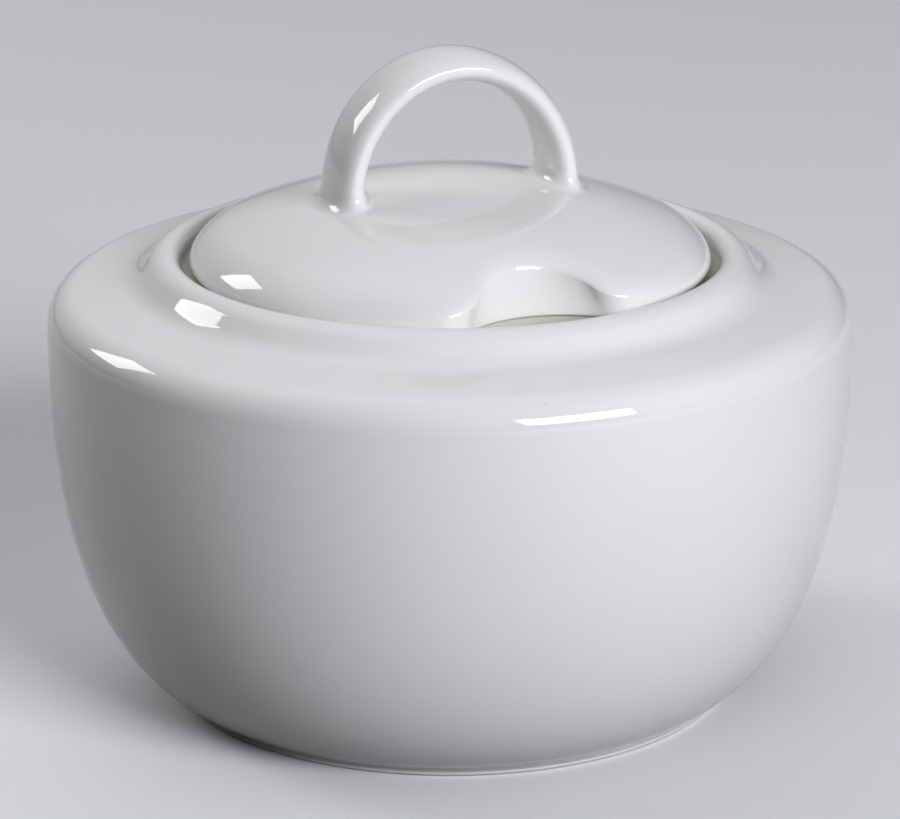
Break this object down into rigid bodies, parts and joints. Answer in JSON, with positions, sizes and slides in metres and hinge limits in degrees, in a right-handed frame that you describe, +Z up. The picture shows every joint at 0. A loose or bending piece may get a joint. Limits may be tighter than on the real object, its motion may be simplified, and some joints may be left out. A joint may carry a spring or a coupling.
{
  "type": "sugar bowl with lid",
  "caption": "Round white glazed porcelain sugar bowl with a sloping shoulder and a lift-off domed lid that has a spoon notch and a strap loop handle.",
  "frame": {"origin": "centre of the foot ring, on the plane that the bowl stands on", "axes": "+Z up along the bowl's axis, -Y towards the spoon notch, X along the loop handle"},
  "size_m": [0.1122, 0.1122, 0.0913],
  "materials": {
    "bowl_glaze": "gloss",
    "lid_glaze": "gloss",
    "handle_glaze": "gloss"
  },
  "bodies": {
    "bowl": {"bowl": "bowl_glaze"},
    "lid": {"lid": "lid_glaze", "loop_handle": "handle_glaze"}
  },
  "joints": [
    {"name": "lid_lift", "type": "slide", "parent": "bowl", "child": "lid", "axis": [0, 0, 1], "range_m": [0, 0.09]}
  ]
}
